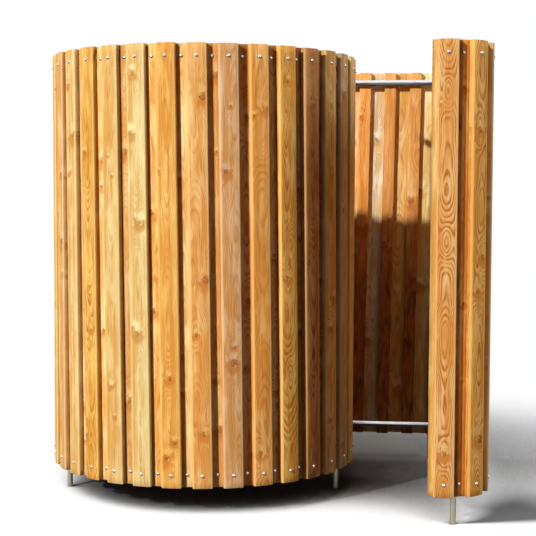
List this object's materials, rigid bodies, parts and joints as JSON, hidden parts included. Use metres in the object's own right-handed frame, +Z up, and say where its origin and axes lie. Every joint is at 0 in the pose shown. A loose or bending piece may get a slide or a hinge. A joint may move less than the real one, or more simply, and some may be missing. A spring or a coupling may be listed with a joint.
{
  "type": "outdoor changing cubicle",
  "caption": "Snail-shaped outdoor changing cubicle: a screen of overlapping upright larch boards bolted round two bent steel rings on short legs, open at the top, with an open way in.",
  "frame": {"origin": "on the ground, at the middle of the cubicle's outline", "axes": "+Z up; -Y is the front, which the round room and the outer end of the wall face; +X towards the way in and the side wall"},
  "size_m": [2.2488, 1.7332, 2.1326],
  "materials": {
    "larch_over": "oiled larch, planed",
    "larch_under": "oiled larch, planed",
    "ring_steel": "bright galvanised tube",
    "leg_steel": "weathered galvanised tube"
  },
  "bodies": {
    "root": {"over_boards_1": "larch_over", "over_boards_2": "larch_over", "over_boards_3": "larch_over", "over_boards_4": "larch_over", "over_boards_5": "larch_over", "over_boards_6": "larch_over", "over_boards_7": "larch_over", "over_boards_8": "larch_over", "over_boards_9": "larch_over", "under_boards_1": "larch_under", "under_boards_2": "larch_under", "under_boards_3": "larch_under", "under_boards_4": "larch_under", "under_boards_5": "larch_under", "under_boards_6": "larch_under", "under_boards_7": "larch_under", "under_boards_8": "larch_under", "under_boards_9": "larch_under", "top_ring_room_1": "ring_steel", "top_ring_room_2": "ring_steel", "top_ring_room_3": "ring_steel", "top_ring_room_4": "ring_steel", "top_ring_back": "ring_steel", "top_ring_corner": "ring_steel", "top_ring_side": "ring_steel", "top_ring_nose": "ring_steel", "top_ring_tail": "ring_steel", "bottom_ring_room_1": "ring_steel", "bottom_ring_room_2": "ring_steel", "bottom_ring_room_3": "ring_steel", "bottom_ring_room_4": "ring_steel", "bottom_ring_back": "ring_steel", "bottom_ring_corner": "ring_steel", "bottom_ring_side": "ring_steel", "bottom_ring_nose": "ring_steel", "bottom_ring_tail": "ring_steel", "top_ring_plugs": "ring_steel", "bottom_ring_plugs": "ring_steel", "leg_right": "leg_steel", "leg_left": "leg_steel", "leg_rear": "leg_steel", "leg_back": "leg_steel", "leg_nose": "leg_steel"}
  },
  "joints": []
}
